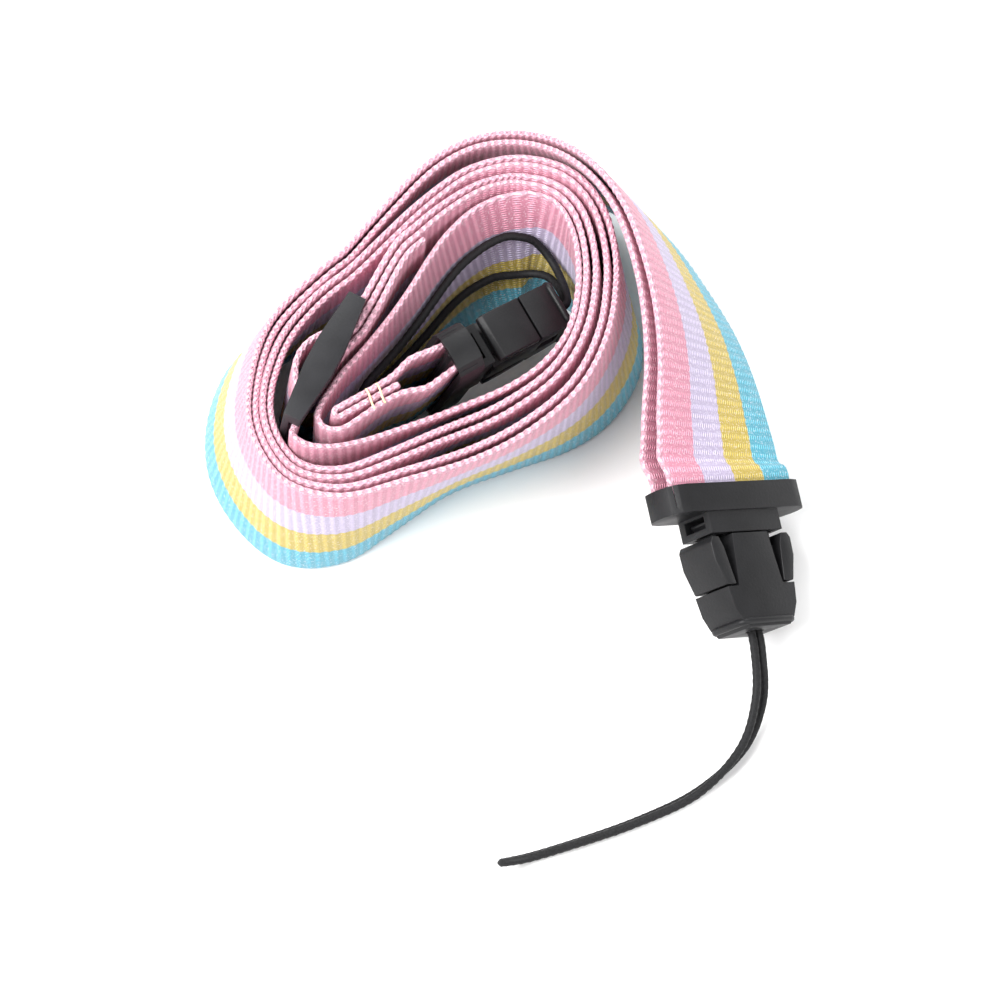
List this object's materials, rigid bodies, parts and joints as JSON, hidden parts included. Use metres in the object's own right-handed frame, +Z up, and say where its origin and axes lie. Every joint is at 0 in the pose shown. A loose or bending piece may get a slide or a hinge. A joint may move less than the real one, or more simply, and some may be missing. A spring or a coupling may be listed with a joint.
{
  "type": "luggage strap",
  "caption": "Striped webbing luggage strap wound into a coil, with a side-release buckle and cord loop on each end and a three-bar slider.",
  "frame": {"origin": "under the middle of the coil, buckles and slider, at the height the strap stands on; the cord loops are not counted", "axes": "+Z up across the webbing, which stands on its lower selvedge; -Y towards the free end with its buckle and cord loop"},
  "size_m": [0.0904, 0.1141, 0.0318],
  "materials": {
    "webbing": "ribbed weave in four stripes: pink, lavender, yellow and turquoise",
    "black_plastic": "finely grained",
    "cord": "braided"
  },
  "bodies": {
    "root": {"webbing": "webbing", "slider": "black_plastic", "strap_end_a": "black_plastic", "strap_end_b": "black_plastic", "plug_b": "black_plastic", "cord_b": "cord", "cord_knot_b": "cord"},
    "plug_a": {"plug_a": "black_plastic", "cord_a": "cord", "cord_knot_a": "cord"},
    "arm_left_a": {"arm_left_a": "black_plastic"},
    "arm_right_a": {"arm_right_a": "black_plastic"},
    "arm_left_b": {"arm_left_b": "black_plastic"},
    "arm_right_b": {"arm_right_b": "black_plastic"}
  },
  "joints": [
    {"name": "plug_a_release", "type": "slide", "parent": "root", "child": "plug_a", "axis": [0.2113, -0.9532, -0.2164], "range_m": [0, 0.003]},
    {"name": "arm_left_a_pinch", "type": "hinge", "parent": "plug_a", "child": "arm_left_a", "pos_m": [0.03172, -0.0343, 0.01257], "axis": [0.625, -0.0385, 0.7797], "range_deg": [-8.1, 0], "stiffness_Nm_per_rad": 0.0005},
    {"name": "arm_right_a_pinch", "type": "hinge", "parent": "plug_a", "child": "arm_right_a", "pos_m": [0.04014, -0.03094, 0.00599], "axis": [0.625, -0.0385, 0.7797], "range_deg": [0, 8.1], "stiffness_Nm_per_rad": 0.0005},
    {"name": "arm_left_b_pinch", "type": "hinge", "parent": "root", "child": "arm_left_b", "pos_m": [0.00395, 0.00572, 0.02077], "axis": [-0.5043, 0.8185, 0.2753], "range_deg": [-8, 0], "stiffness_Nm_per_rad": 0.0005},
    {"name": "arm_right_b_pinch", "type": "hinge", "parent": "root", "child": "arm_right_b", "pos_m": [0.00182, 0.00802, 0.01002], "axis": [-0.5043, 0.8185, 0.2753], "range_deg": [0, 8.1], "stiffness_Nm_per_rad": 0.0005}
  ],
  "couplings": [
    {"joint": "arm_left_a_pinch", "follows": "plug_a_release", "rad_per_m": -46.5},
    {"joint": "arm_right_a_pinch", "follows": "plug_a_release", "rad_per_m": 46.5},
    {"joint": "arm_right_b_pinch", "follows": "arm_left_b_pinch", "ratio": -1}
  ]
}
